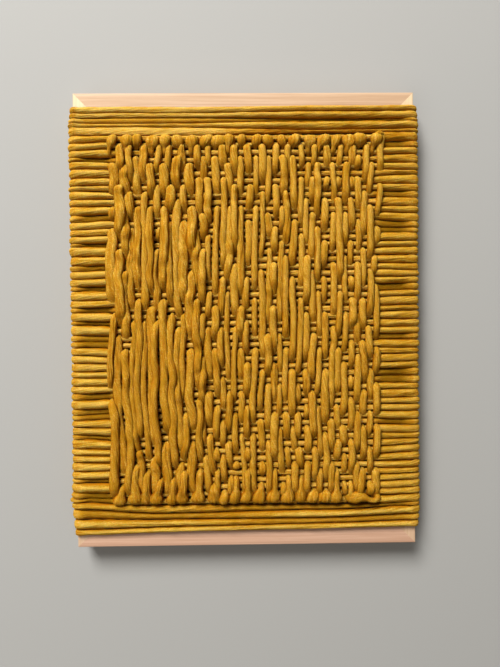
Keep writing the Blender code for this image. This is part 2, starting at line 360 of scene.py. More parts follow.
# Each turn's line, which strays to its place at the edge and wanders with its neighbours
margin = ease((np.abs(face_x) - MARGIN_START) / (MARGIN_FULL - MARGIN_START))
fan = ease((np.abs(face_x) - MARGIN_START) / FAN_LENGTH)
low_fan = ease((np.abs(face_x) - LOW_FAN_START) / LOW_FAN_LENGTH)
across = (face_x + HALF_WIDTH) / FRAME_WIDTH
turn_line = np.zeros((TURNS, FACE_STEPS))
common = np.zeros(FACE_STEPS)
for n in range(TURNS):
    base = left_base[n] * (1 - across) + right_base[n] * across
    edge = np.where(face_x < 0, edge_left[n] - left_base[n], edge_right[n] - right_base[n])
    common = 0.6 * common + 0.4 * wander(draw, FACE_STEPS, spacing=40)
    reach = low_fan if n >= FIRST_LOW_TURN else fan
    turn_line[n] = base + edge * reach + COMMON_WANDER * common
    turn_line[n] += FINE_WANDER * wander(draw, FACE_STEPS, spacing=14)
    own = BAND_WANDER if in_band[n] else WOVEN_WANDER
    turn_line[n] += own * MM * wander(draw, FACE_STEPS, spacing=46)

# The borders between the turns, and the room that they leave each turn
right_share = ease((face_x + MIDDLE_REACH) / (2 * MIDDLE_REACH))
low_line = from_left_to_right(sunk[0][:, None], sunk[1][:, None])
slim_line = from_left_to_right(slim[0][:, None], slim[1][:, None])
outer_share = np.where(in_band[:, None], 1.0, margin[None, :])
border = (turn_line[:-1] + turn_line[1:]) / 2 + (slim_line[:-1] - slim_line[1:]) * SLIM_SHIFT * MM
border = np.vstack([turn_line[:1] + FIRST_ROOM, border, turn_line[-1:] - LAST_ROOM])
from_edge = np.clip((HALF_WIDTH - np.abs(face_x)) / EDGE_REACH, 0, 1)
turn_lift = BAND_LIFT * from_edge * margin * ~in_band[:, None]
turn_line += ((border[:-1] + border[1:]) / 2 - turn_line) * outer_share
room = (border[:-1] - border[1:]) / 2

# Each turn's half width and height, the crown of its face, and its tone: painted shade where it
# is sunk, and painted light elsewhere
turn_half, turn_high, turn_crown, turn_painted_shading = (np.zeros((TURNS, FACE_STEPS)) for _ in range(4))
for n in range(TURNS):
    # pale is painted light, which widens the painted highlight on the turn's crest
    left_crown, right_crown = draw.uniform(*CROWN_RANGE, 2) - (0.0, CROWN_RIGHT_LESS)
    narrower = 1.0
    if n < TOP_TURNS:
        left_crown -= CROWN_TOP_LESS
        full = TOP_HIGH + TOP_RIGHT_MORE * right_share
        pale = TOP_LEFT_PAINTED_LIGHT * (1 - right_share) + TOP_PAINTED_LIGHT
    elif n < FIRST_LOW_TURN:
        full = MARGIN_HIGH - MARGIN_END_LESS * (1 - from_edge)
        pale = MARGIN_LEFT_PAINTED_LIGHT * (1 - right_share)
    else:
        left_crown, right_crown = left_crown + CROWN_LOW_MORE, right_crown + CROWN_LOW_MORE
        full = LOW_HIGH[n - TURNS]
        pale = PAINTED_LIGHT
        narrower = LOW_NARROWER
    crown = from_left_to_right(left_crown, right_crown)
    crown += 0.06 * wander(draw, FACE_STEPS, spacing=50)
    crown *= ease((HALF_WIDTH + 1 * MM - np.abs(face_x)) / CROWN_END)
    outside = room[n] * (1.0 + 0.03 * wander(draw, FACE_STEPS, spacing=40)) / (1 - 0.30 * crown)
    outside = np.clip(outside * narrower, NARROWEST, WIDEST)
    woven = WOVEN_HALF * (1 + 0.08 * wander(draw, FACE_STEPS, spacing=7))
    low = low_line[n] * outer_share[n] * ease((HALF_WIDTH - np.abs(face_x)) / SINK_END)
    high = WOVEN_HIGH + (full - WOVEN_HIGH) * outer_share[n] - low
    turn_half[n] = outside * outer_share[n] + woven * (1 - outer_share[n])
    turn_high[n] = CORD_HIGH * (high + 0.05 * wander(draw, FACE_STEPS, spacing=16))
    turn_crown[n] = np.clip(crown, 0, 1) * outer_share[n]
    turn_painted_shading[n] = SUNK_PAINTED_SHADE * low - pale * outer_share[n] - PAINTED_LIGHT * (1 - outer_share[n])


def turn_y(n, x):
    """Place of turn n of the weave at x. Just past either end it is one pitch further."""
    beyond = min(n, 0) + max(n - LAST_TURN, 0)
    line = turn_line[TOP_TURNS + min(max(n, 0), LAST_TURN)]
    return float(np.interp(x, face_x, line)) - beyond * WARP_PITCH


def gap_below(n, x):
    """The middle of the gap below turn n of the weave."""
    return (turn_y(n, x) + turn_y(n + 1, x)) / 2


def length_along(points):
    """How far along the cord each point lies."""
    return np.concatenate([[0], np.cumsum(np.linalg.norm(np.diff(points[:, :3], axis=0), axis=1))])


# A cord's section, in shares of its half width: low ridges of yarn, waves as (number, size),
# and grooves that run along it. A pair is for a tight cord and what slack adds.
YARN_RIDGE, CORD_WAVES = (0.04, 0.05), ((2, 0.035), (3, 0.03), (5, 0.016))
GROOVE_STARTS, GROOVE_DEPTH, GROOVE_WIDTH = (0.9, 2.2, 4.4), (0.05, 0.24), 0.3
SPLIT_DEPTH, SPLIT_WIDTH, LUMPS = 0.42, 0.26, 0.05
# Half the cord's thickness for its fibres' pattern, in mm
FIBRE_RADIUS = 2.5


def new_object(name, data):
    """An object of this mesh, lamp or camera, in the scene."""
    made = bpy.data.objects.new(name, data)
    bpy.context.collection.objects.link(made)
    return made


def cord_object(name, path, aside, wide, high, spin, slack, split, crown, tone, sides, seed):
    """A closed cord along path, wide along aside, with yarns that show as low ridges.

    slack is 0 where the cord is tight and 1 where it has come untwisted and bulges. split is 1
    where it lies open along the middle and looks like two strands. crown is the share of its
    width that its outer face loses, where its inner face is pressed flat on the wood. tone is
    painted shading: above 0 it is painted shade, where the cord lies deep between others or
    sinks into a dip, and the browning of the lower left of the weave; below 0 it is painted
    light, which widens the painted highlight on the crest.

    The material reads these attributes of the mesh: fibre, the place along and round the cord;
    slack; hollow, a mask of painted shading from 0 on the crest, where a highlight is painted,
    to 1 on the sides, the underside and in the grooves, where shade is painted; deep, painted
    shade where tone is above 0; and pressed, where crown is.
    """
    draw = np.random.RandomState(seed)
    count = len(path)
    ahead = np.gradient(path, axis=0)
    ahead /= np.linalg.norm(ahead, axis=1)[:, None]
    aside = aside - (aside * ahead).sum(axis=1)[:, None] * ahead
    aside /= np.linalg.norm(aside, axis=1)[:, None]
    up = np.cross(aside, ahead)
    run = length_along(path)
    spacing = run[-1] / (count - 1)

    index = np.arange(sides)
    turned = 2 * math.pi * index / sides
    angle = turned[None, :] + spin[:, None]

    def drift(every):
        """A value from -1 to 1 at each point of the path, drawn anew every so many metres."""
        return wander(draw, count, every / spacing)

    def groove(middle, width):
        """1 along a line round at the angle middle, and soft sides down to 0."""
        off = np.abs((angle - middle[:, None] + math.pi) % (2 * math.pi) - math.pi)
        return np.exp(-(off / width) ** 2)

    tight, more = YARN_RIDGE
    ridge = np.where(index % 2 == 0, 1, -1)[None, :] * (tight + more * slack[:, None])
    radius = 1 + ridge * (1 + 0.5 * drift(15 * MM))[:, None]
    for waves, size in CORD_WAVES:
        strength = size * (1 + 1.4 * slack) * (0.6 + 0.4 * drift(9 * MM))
        waved = waves * (angle - 0.5 * spin[:, None]) + 3.5 * drift(40 * MM)[:, None]
        radius += strength[:, None] * np.cos(waved)
    tight, more = GROOVE_DEPTH
    for start in GROOVE_STARTS:
        depth = (tight + more * slack) * np.clip(0.45 + 0.8 * drift(22 * MM), 0, 1)
        radius -= depth[:, None] * groove(start + 0.9 * drift(35 * MM), GROOVE_WIDTH)
    middle = math.pi / 2 + 0.45 * drift(18 * MM)
    radius -= SPLIT_DEPTH * split[:, None] * groove(middle, SPLIT_WIDTH)
    lumps = draw.normal(size=(count, sides))
    for axis in (0, 0, 1):
        lumps = (np.roll(lumps, 1, axis) + 2 * lumps + np.roll(lumps, -1, axis)) / 4
    radius += LUMPS * lumps
    narrower = 1 - crown[:, None] * ease((1 + np.sin(angle)) / 2)
    sideways = wide[:, None] * radius * np.cos(angle) * narrower
    upwards = high[:, None] * radius * np.sin(angle)
    points = path[:, None] + aside[:, None] * sideways[:, :, None]
    points += up[:, None] * upwards[:, :, None]
    points[:, :, 2] = np.maximum(points[:, :, 2], 0)

    ring = np.arange(count - 1)[:, None] * sides
    nxt = (index + 1) % sides
    quads = np.stack([ring + index, ring + nxt, ring + sides + nxt, ring + sides + index], axis=2)
    faces = quads.reshape(-1, 4).tolist()
    faces.append(index[::-1].tolist())
    faces.append((index + (count - 1) * sides).tolist())
    mesh = bpy.data.meshes.new(name)
    mesh.from_pydata(points.reshape(-1, 3), [], faces)
    mesh.polygons.foreach_set("use_smooth", np.ones(len(faces), dtype=bool))
    fibre = np.zeros((count, sides, 3))
    fibre[:, :, 0] = FIBRE_RADIUS * np.cos(turned)
    fibre[:, :, 1] = FIBRE_RADIUS * np.sin(turned)
    fibre[:, :, 2] = (run / MM)[:, None]
    mesh.attributes.new("fibre", "FLOAT_VECTOR", "POINT").data.foreach_set("vector", fibre.ravel())
    # Painted highlight on the crest, and painted shade on the sides, the underside and in the
    # grooves; tone above 0 adds painted shade, and below 0 it adds painted highlight
    height = np.sin(angle)
    crest, side_and_under_shade = ease((height - 0.4) / 0.55), ease((0.62 - height) / 1.1)
    groove_shade = np.clip((0.95 - radius) / 1.2, 0, 0.16)
    hollow = np.maximum(0.25 - 0.25 * crest + 0.7 * side_and_under_shade, 0.25 + groove_shade)
    hollow = np.clip(0.3 + 0.7 * (hollow + np.clip(tone, -0.3, 0.1)[:, None]), 0, 1)
    for key, values in (
        ("slack", np.repeat(slack, sides)),
        ("hollow", hollow.ravel()),
        ("deep", np.repeat(np.clip(tone, 0, 0.75), sides)),
        ("pressed", np.repeat(np.clip(2 * crown, 0, 1), sides)),
    ):
        mesh.attributes.new(key, "FLOAT", "POINT").data.foreach_set("value", values)
    mesh.update()
    return new_object(name, mesh)


def cotton_material():
    """Mustard cotton: fine fibres along the cord, soft yarns, patches that took more dye, painted
    light and shade.
    """
    material, tree, shader = new_material("mustard cotton")
    fibre, slack, hollow, deep, pressed = (
        add_node(tree, "Attribute", attribute_name=name, attribute_type="GEOMETRY")
        for name in ("fibre", "slack", "hollow", "deep", "pressed"))

    def threads(across, along, detail, shift):
        """Noise of this scale across and along the cord."""
        place = add_node(tree, "Mapping", [
            ("Vector", fibre.outputs["Vector"]), ("Scale", (across, across, along)),
            ("Location", shift)])
        return noise(tree, place.outputs["Vector"], detail)

    fine = threads(3.2, 0.22, 3, (0, 0, 0))
    yarns = threads(1.1, 0.07, 2, (9, 4, 2))
    patches = threads(0.12, 0.035, 2, (3, 1, 7))
    spots = threads(0.5, 0.25, 3, (5, 2, 1))
    flecks = threads(0.9, 0.7, 2, (1, 6, 8))
    fuzz = threads(2.0, 1.3, 1, (4, 8, 3))
    broad = noise(tree, add_node(tree, "TexCoord").outputs["Object"], detail=1, scale=65)
    # hollow is low on the crest, where a highlight is painted, and high on the sides, the underside
    # and in the grooves, where shade is painted
    height = hollow.outputs["Fac"]

    colour = blend_colours(
        tree, ramp(tree, patches, [(0.35, 0), (0.65, 1)]), LIGHT_DYE, STRONG_DYE)
    for mask, stops, tint in (
        (spots, [(0.56, 0), (0.74, 0.2)], SPOT),
        (flecks, [(0.32, 0.5), (0.47, 0)], DARK_FLECK),
        (flecks, [(0.54, 0), (0.70, 0.4)], LIGHT_FLECK),
        (fuzz, [(0.36, 0.5), (0.52, 0)], DARK_FUZZ),
        (fuzz, [(0.52, 0), (0.66, 0.3)], LIGHT_FUZZ),
        # Painted shade in the valleys between the yarn ridges of the bump
        (yarns, [(0.34, 0.6), (0.50, 0)], YARN_VALLEY_SHADE),
        (fine, [(0.3, 0.55), (0.60, 0)], DARK_FIBRE),
        (fine, [(0.6, 0), (0.8, 0.4)], LIGHT_FIBRE),
        (broad, [(0.33, 0.6), (0.52, 0)], BROAD_SHADE),
        (height, [(0.0, 0.95), (0.3, 0.8), (0.505, 0)], CREST_PAINTED_HIGHLIGHT),
        (height, [(0.49, 0), (0.68, 0.7), (0.9, 0.95)], HOLLOW_PAINTED_SHADE),
    ):
        colour = blend_colours(tree, ramp(tree, mask, stops), colour, tint)
    colour = blend_colours(tree, pressed.outputs["Fac"], colour, PRESSED, "MULTIPLY")
    # Painted shade where the cord lies deep between others or sinks into a dip, and the browning of
    # the weave's lower left
    colour = blend_colours(tree, deep.outputs["Fac"], colour, DEEP_PAINTED_SHADE)

    def add_times(value, share, rest):
        """value times share, on top of rest."""
        return add_node(
            tree, "Math", [(0, value), (1, share), (2, rest)], operation="MULTIPLY_ADD").outputs[0]

    depth = add_node(tree, "MapRange", [
        ("Value", slack.outputs["Fac"]), ("To Min", 0.6), ("To Max", 1.7)]).outputs["Result"]
    ridges = add_node(tree, "Math", [(0, yarns), (1, depth)], operation="MULTIPLY").outputs[0]
    relief = add_node(tree, "Bump", [
        ("Height", add_times(flecks, 0.4, add_times(fine, 0.35, ridges))),
        ("Strength", 1.0), ("Distance", 0.001)])
    plug(tree, shader, [
        ("Base Color", colour), ("Normal", relief.outputs["Normal"]), ("Roughness", 0.92),
        ("Specular IOR Level", 0.02), ("Subsurface Weight", 0.4), ("Subsurface Scale", 2.5 * MM),
        ("Subsurface Radius", (1.0, 0.45, 0.12))])
    return material


def finish_cord(cord, node_name):
    """Gives a piece of cord its cotton, and lets it stand for the solid one."""
    cord.data.materials.append(cotton)
    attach(cord, "root")
    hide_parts(node_name)


def quarter(centre_x, centre_z, radius, start, end, steps=5):
    """Points of a bend round a corner of the frame, as (x, z)."""
    angles = np.radians(np.linspace(start, end, steps))
    return [(centre_x + radius * math.cos(a), centre_z + radius * math.sin(a)) for a in angles]


# The cord's bends lie round centres that are CORNER_IN inside the wood's surfaces
CORNER_IN, CORNER_ROOM, FACE_ROOM = 2 * MM, 2.1 * MM, 0.1 * MM
BACK_STEPS, BACK_HALF, BACK_CROWN = 40, 2.6 * MM, 0.1
WOUND_TWIST, WOUND_SIDES = 130 * MM, 16


def wound_cord(name, first, last):
    """The wound cord from turn first to turn last, each from the frame's back left corner on."""
    centre_x = HALF_WIDTH - CORNER_IN
    low, high = WOOD_BACK + CORNER_IN, WOOD_FRONT - CORNER_IN
    front = slice(2, FACE_STEPS - 2)

    def round_side(swell):
        """Places as (x, z) and half heights from the back to the front, round the left side."""
        reach = CORD_HIGH + CORNER_ROOM
        out = CORD_HIGH * swell + CORNER_ROOM
        places = quarter(-centre_x, low, reach, 270, 180) + [(-centre_x - reach, (low + high) / 2)]
        places += quarter(-centre_x, high, reach, 180, 90)
        shares = [min(1, max(0, (-centre_x - x) / reach)) for x, _ in places]
        places = [(-centre_x - (-centre_x - x) * out / reach, z) for x, z in places]
        return places, [CORD_HIGH * (1 + (swell - 1) * share) for share in shares]

    points, sizes = [], []
    for n in range(first, last + 1):
        line, half, tall, crown = turn_line[n], turn_half[n], turn_high[n], turn_crown[n]
        places, heights = round_side(side_swell[0, n])
        points += [(x, line[0], z) for x, z in places]
        sizes += [(half[0], thick, crown[0], 0.0) for thick in heights]
        middle_z = WOOD_FRONT + FACE_ROOM + tall[front] + turn_lift[n][front]
        points += list(zip(face_x[front], line[front], middle_z))
        sizes += list(zip(half[front], tall[front], crown[front], turn_painted_shading[n][front]))
        places, heights = round_side(side_swell[1, n])
        points += [(-x, line[-1], z) for x, z in reversed(places)]
        sizes += [(half[-1], thick, crown[-1], 0.0) for thick in reversed(heights)]
        if n < TURNS - 1:
            start, end = line[-1], turn_line[n + 1][0]
            for share in np.linspace(0, 1, BACK_STEPS)[1:None if n == last else -1]:
                x, y = centre_x * (1 - 2 * share), start + (end - start) * share
                points.append((x, y, WOOD_BACK - CORD_HIGH))
                sizes.append((BACK_HALF, CORD_HIGH, BACK_CROWN, 0.0))
    path = np.array(points)
    wide, high, crown, tone = np.array(sizes).T
    count = len(path)
    aside = np.tile((0.0, -1.0, 0.0), (count, 1))
    draw = np.random.RandomState(first + 3)
    turned = 2 * math.pi * length_along(path) / WOUND_TWIST
    spin = turned + 1.2 * wander(draw, count, spacing=60)
    slack = np.clip(0.45 + 0.5 * wander(draw, count, spacing=24), 0, 1)
    split = np.clip(1.6 * wander(draw, count, spacing=22) - 0.45, 0, 0.7)
    return cord_object(
        name, path, aside, wide, high, spin, slack, split, crown, tone, WOUND_SIDES, first + 40)


# Dyed cotton, the marks on it, and its painted highlight and painted shade, as red, green, blue
# and opacity
LIGHT_DYE, STRONG_DYE, SPOT = (
    (0.530, 0.300, 0.020, 1), (0.590, 0.350, 0.036, 1), (0.490, 0.262, 0.014, 1))
DARK_FLECK, LIGHT_FLECK = (0.348, 0.168, 0.008, 1), (0.720, 0.520, 0.200, 1)
DARK_FUZZ, LIGHT_FUZZ = (0.376, 0.183, 0.009, 1), (0.740, 0.540, 0.210, 1)
DARK_FIBRE, LIGHT_FIBRE = (0.368, 0.180, 0.009, 1), (0.780, 0.560, 0.220, 1)
# The dark colour between yarns is painted shade in the valleys between the yarn ridges
YARN_VALLEY_SHADE, BROAD_SHADE = (0.330, 0.155, 0.006, 1), (0.400, 0.212, 0.012, 1)
# A painted highlight on the top of the cord, and painted shade on its sides, its underside and in
# its grooves
CREST_PAINTED_HIGHLIGHT, HOLLOW_PAINTED_SHADE = (0.720, 0.572, 0.200, 1), (0.385, 0.138, 0.0003, 1)
# The colour where the cord is pressed flat, and painted shade where it lies deep or sinks into a
# dip
PRESSED, DEEP_PAINTED_SHADE = (0.99, 1.055, 1.07, 1), (0.190, 0.096, 0.0010, 1)
cotton = cotton_material()
for name, first, last in (
    ("warp_upper", 0, 19), ("warp_middle", 20, 40), ("warp_lower", 41, TURNS - 1),
):
    finish_cord(wound_cord(name, first, last), "warp")


# The darned cord
# A second length of the same cotton, worked up and down through the face of the winding with a
# needle. It floats over several turns, dives under one, and rounds the outermost turn at each
# end in a fat knob. On the left the floats are long and have come untwisted.

COLUMNS = 42
COLUMNS_HALF_WIDTH = 117 * MM
COLUMN_PITCH = 2 * COLUMNS_HALF_WIDTH / (COLUMNS - 1)
LEFT_BOW = (-1.6 * MM, 0.0 * MM, 1.6 * MM)
RIGHT_BOW = (3.6 * MM, -1.2 * MM, -0.6 * MM)
SWAY, SWAY_PERIOD_Y, SWAY_PERIOD_X = 0.8 * MM, 320 * MM, 400 * MM
LONG_STEPS, SHORT_STEPS = (9, 14), (5, 9)
TOP_KNOB_TURNS, BOTTOM_KNOB_TURNS = (2, 3), (2, 5)
# Where the kinds of float change, counted in columns from the left and in turns from the top.
# The last columns have no knob at the foot.
LONG_COLUMNS, LOW_LEFT_COLUMNS, MIDDLE_COLUMNS, RIGHT_COLUMNS, NO_KNOB_COLUMNS = 14, 11, 24, 30, 37
SHORT_TOP, LOW_LEFT_TURNS, LOW_TURNS = 8, 30, 42
# How many turns a float spans before it gets a dip where floats are short, the chance of such a
# place on the right, and the chance that a float at the lower left runs to the foot
SPLIT_FROM, RIGHT_SHORT, FOOT_SKIP = 8, 0.4, 0.6
FLOAT_FLOOR = 28.5 * MM
DIP_Z = 22.5 * MM
TIP_WIDE, TIP_HIGH = 1.7 * MM, 1.15 * MM
KNOB_IN = 1.7 * MM
ROW_STEP = 0.5 * MM


def columns_of_dips():
    """For each column, the turns that it passes under, drawn as for the solids."""
    draw = random.Random(SEED)
    columns = []
    beside = []
    for column in range(COLUMNS):
        goes_up = column % 2 == 0
        end = LAST_TURN - 1 if goes_up else LAST_TURN - draw.randint(*BOTTOM_KNOB_TURNS)
        dips = [draw.randint(*TOP_KNOB_TURNS)] if goes_up else [0]
        while True:
            loose = column < LONG_COLUMNS and dips[-1] > SHORT_TOP
            low, high = LONG_STEPS if loose else SHORT_STEPS
            steps = range(dips[-1] + low, dips[-1] + high + 1)
            free = [n for n in steps if all(abs(n - other) > 1 for other in beside)]
            place = draw.choice(free or list(steps))
            if place > end - 2:
                break
            dips.append(place)
        dips.append(LAST_TURN if goes_up else end)
        columns.append(dips)
        beside = dips
    return columns


def bowed(x, y):
    """Where a place of the even grid of columns really is across the hanging."""
    up = y / WEAVE_HALF_HEIGHT
    left, right = (
        middle + (top - bottom) / 2 * up + ((top + bottom) / 2 - middle) * up * up
        for top, middle, bottom in (LEFT_BOW, RIGHT_BOW)
    )
    share = (x / COLUMNS_HALF_WIDTH + 1) / 2
    sway = SWAY * np.sin(2 * math.pi * (y / SWAY_PERIOD_Y + x / SWAY_PERIOD_X))
    return x + left * (1 - share) + right * share + sway


def longest_float(column, low):
    """How many turns a float that skips the dip at low may span, and the chance that it does."""
    if column < LOW_LEFT_COLUMNS and low > LOW_LEFT_TURNS:
        return 25, 0.85
    if column < LONG_COLUMNS:
        return 18, 0.3
    return (15, 0.55) if column < MIDDLE_COLUMNS else (13, 0.35)


def refitted(columns):
    """Adds dips where floats are short, and skips some where they are long.

    They are short at the top, the foot and the right. They are long in the middle, and longest
    at the lower left, where they run nearly to the foot.
    """
    draw = random.Random(SEED + 2)
    fitted = []
    for column, dips in enumerate(columns):
        beside = columns[column - 1] + (columns[column + 1] if column + 1 < COLUMNS else [])
        added, skipped = [], []
        for before, low, high in zip([0] + dips, dips, dips[1:]):
            on_right = column >= RIGHT_COLUMNS and draw.random() < RIGHT_SHORT
            inside = high < LOW_TURNS and not on_right
            long = low > SHORT_TOP and (column < LONG_COLUMNS or inside)
            free = [
                n for n in range(low + 3, high - 2) if all(abs(n - other) > 1 for other in beside)]
            if high - low >= SPLIT_FROM and not long and free:
                added.append(free[len(free) // 2])
            longest, chance = longest_float(column, low)
            skips = long and before > 3 and before not in skipped and high - before <= longest
            if skips and draw.random() < chance:
                skipped.append(low)
        goes_down_low = column % 2 and column < LOW_LEFT_COLUMNS
        if goes_down_low and draw.random() < FOOT_SKIP and dips[-2] not in skipped:
            skipped.append(dips[-1])
        fitted.append(sorted(set(dips + added) - set(skipped)))
    return fitted


dips_of = refitted(columns_of_dips())
draw = np.random.RandomState(SEED + 5)
# The columns on even rows from the top down: place, half width, half height, slack, split, and
# whether the cord floats over the turns there
row_y = np.arange(166 * MM, -166 * MM, -ROW_STEP)
ROWS = len(row_y)
col_x = np.zeros((COLUMNS, ROWS))
col_z = np.full((COLUMNS, ROWS), DIP_Z)
col_wide = np.full((COLUMNS, ROWS), TIP_WIDE)
col_high = np.full((COLUMNS, ROWS), TIP_HIGH)
col_slack = np.zeros((COLUMNS, ROWS))
col_split = np.zeros((COLUMNS, ROWS))
col_over = np.zeros((COLUMNS, ROWS), dtype=bool)
floats_of = []

# Half sizes and other lengths in mm, each drawn between the two that are given: of the knobs at
# the top (UP) with their tails, of those at the foot (DOWN) with their stems, and of the floats
UP_WIDE, UP_HIGH, UP_REACH = (4.0, 6.1), (2.6, 3.5), (4.6, 5.4)
TAIL_WIDE, TAIL_HIGH, UP_LEAN, UP_SLANT = (1.8, 2.6), (1.4, 2.0), (-2.0, 3.0), (-2.2, 3.4)
DOWN_WIDE, DOWN_HIGH, STEM_WIDE, DOWN_SLANT = (4.8, 6.2), (2.9, 3.6), (2.3, 3.5), (-3.4, -0.4)
LEFT_SHOULDER, RIGHT_SHOULDER = (4.4, 7.0), (5.0, 10.0)
THIN_WIDE, THICK_WIDE, OPEN_WIDE, RIGHT_WIDE = (2.4, 3.4), (2.7, 3.8), (3.8, 4.5), (2.4, 3.6)
FLOAT_HIGH, ARCH, RISE = (2.2, 2.6), (0, 1.0), (-1.3, 1.3)
LEFT_UPPER_TAPER, LEFT_LOWER_TAPER, RIGHT_TAPER, OPEN_TAPER = (2, 9), (2, 8), (1.5, 4), (3, 8)
# How far a knob's middle lies from its end of the float, how far down the lower one's end is
# round, and how far each one's lean reaches
UP_CENTRE, UP_BEND = 4.4 * MM, 9 * MM
DOWN_CENTRE, DOWN_REACH, DOWN_BEND = 3.8 * MM, 4.2 * MM, 8 * MM
# An open float's half width on the right, the half width from which a float is higher too, and
# how deep and how long at most its lower end slopes down
OPEN_HALF, THICK_FROM, END_SINK, LONGEST_SLOPE = 3.1 * MM, 3.0 * MM, 1.9 * MM, 12 * MM


def between(span):
    """A length between the two of span, in metres."""
    return draw.uniform(*span) * MM


def grown(tip, full, share):
    """A size that is tip where share is 0, and full where it is 1."""
    return tip + (full - tip) * share


def lay_float(column, upper, lower, kind):
    """One float between the gaps at upper and lower: its width, height and bow on the rows."""
    top_cut = 0.4 * MM if kind == "knob up" else 1.3 * MM
    rows = np.where((row_y < upper - top_cut) & (row_y > lower + 0.6 * MM))[0]
    length = upper - lower
    from_top, from_bottom = upper - row_y[rows], row_y[rows] - lower
    near = np.minimum(from_top, from_bottom)
    middle = np.sin(math.pi * from_top / length)
    on_left = column < LONG_COLUMNS
    sink, split, arch, lean = 0.0, 0.0, 0.0, draw.uniform(-1, 1) * 0.8 * MM
    if kind == "knob up":
        wide, high = between(UP_WIDE), between(UP_HIGH)
        tail_wide, tail_high = between(TAIL_WIDE), between(TAIL_HIGH)
        ball = 1 - ((from_top - UP_CENTRE) / draw.uniform(*UP_REACH) / MM) ** 2
        ball = np.sqrt(np.clip(ball, 0, 1))
        wide_now = grown(TIP_WIDE, grown(tail_wide, wide, ball), ease(from_bottom / (3 * MM)))
        high_now = grown(TIP_HIGH, grown(tail_high, high, ball), ease(from_bottom / (5 * MM)))
        slack, lean, slant = draw.uniform(0.7, 1.4), between(UP_LEAN), between(UP_SLANT)
        col_x[column, rows] += slant * np.clip(1 - from_top / UP_BEND, 0, 1)
        col_x[column, :rows[0]] += slant
    elif kind == "knob down":
        wide, high, stem = between(DOWN_WIDE), between(DOWN_HIGH), between(STEM_WIDE)
        shoulder = draw.uniform(*(LEFT_SHOULDER if on_left else RIGHT_SHOULDER))
        under = np.clip(1 - ((DOWN_CENTRE - from_bottom) / DOWN_REACH) ** 2, 0, 1) ** 0.35
        above = np.clip(1 - ((from_bottom - DOWN_CENTRE) / shoulder / MM) ** 2, 0, 1) ** 0.7
        wide_now = grown(stem, wide, np.where(from_bottom < DOWN_CENTRE, under, above))
        wide_now = grown(TIP_WIDE, wide_now, ease((from_top + 1 * MM) / (4 * MM)))
        ends = ease(from_bottom / (3 * MM)), ease(from_top / (5 * MM))
        high_now = TIP_HIGH + (high - TIP_HIGH) * ends[0] * ends[1]
        slack, split = draw.uniform(0.5, 1.2), 0.7 * (draw.uniform() < 0.25)
        slant = np.random.RandomState(SEED + 30 + column).uniform(*DOWN_SLANT) * MM
        col_x[column, rows] += slant * np.clip(1 - from_bottom / DOWN_BEND, 0, 1)
        col_x[column, rows[-1] + 1:] += slant
    else:
        strand = draw.uniform(0, 1)
        if on_left:
            wide = between(THIN_WIDE if column % 2 else THICK_WIDE)
            slack, split = draw.uniform(0.3, 1.0), 0.75 * (strand < 0.3)
            if strand > 0.72:
                wide, split = between(OPEN_WIDE), draw.uniform(0.6, 1.0)
            tapers = between(LEFT_UPPER_TAPER), between(LEFT_LOWER_TAPER)
        else:
            wide = between(RIGHT_WIDE)
            slack = draw.uniform(0.1, 0.7)
            tapers = between(RIGHT_TAPER), between(RIGHT_TAPER)
            if strand < 0.15:
                wide, slack, split = OPEN_HALF, 0.9, 0.7 * (strand < 0.07)
                tapers = between(OPEN_TAPER), between(OPEN_TAPER)
        high = between(FLOAT_HIGH) * (1.1 if wide > THICK_FROM else 1)
        fill = ease((from_top + 0.8 * MM) / tapers[0]) * ease((from_bottom + 0.8 * MM) / tapers[1])
        wide_now = grown(TIP_WIDE, wide, fill)
        slope = ease(from_bottom / min(LONGEST_SLOPE, 0.4 * length))
        high_now = TIP_HIGH + (high - TIP_HIGH) * ease(from_top / (3 * MM)) * slope
        arch = between(ARCH) * min(1, length / (40 * MM)) * (1.8 if on_left else 1)
        sink = END_SINK * (1 - slope) - between(RISE) * ease(near / (6 * MM))
    uneven = 0.11 if on_left else 0.06
    wide_now = wide_now * (1 + uneven * wander(draw, len(rows), spacing=24))
    bow = draw.uniform(-1, 1) * min(1, length / (45 * MM)) * (2.0 if on_left else 1.2) * MM
    split = split * ease((near - 2 * MM) / (5 * MM))
    split = split * (0.7 + 0.3 * wander(draw, len(rows), spacing=30))
    col_x[column, rows] += bow * middle + lean * (1 - 2 * from_top / length) * middle
    col_z[column, rows] = FLOAT_FLOOR + high_now * 0.94 + arch * middle - sink
    col_wide[column, rows], col_high[column, rows] = wide_now, high_now
    col_slack[column, rows] = slack * ease(near / (5 * MM))
    col_split[column, rows] = split
    col_over[column, rows] = True
    floats_of[column].append((rows[0], rows[-1]))


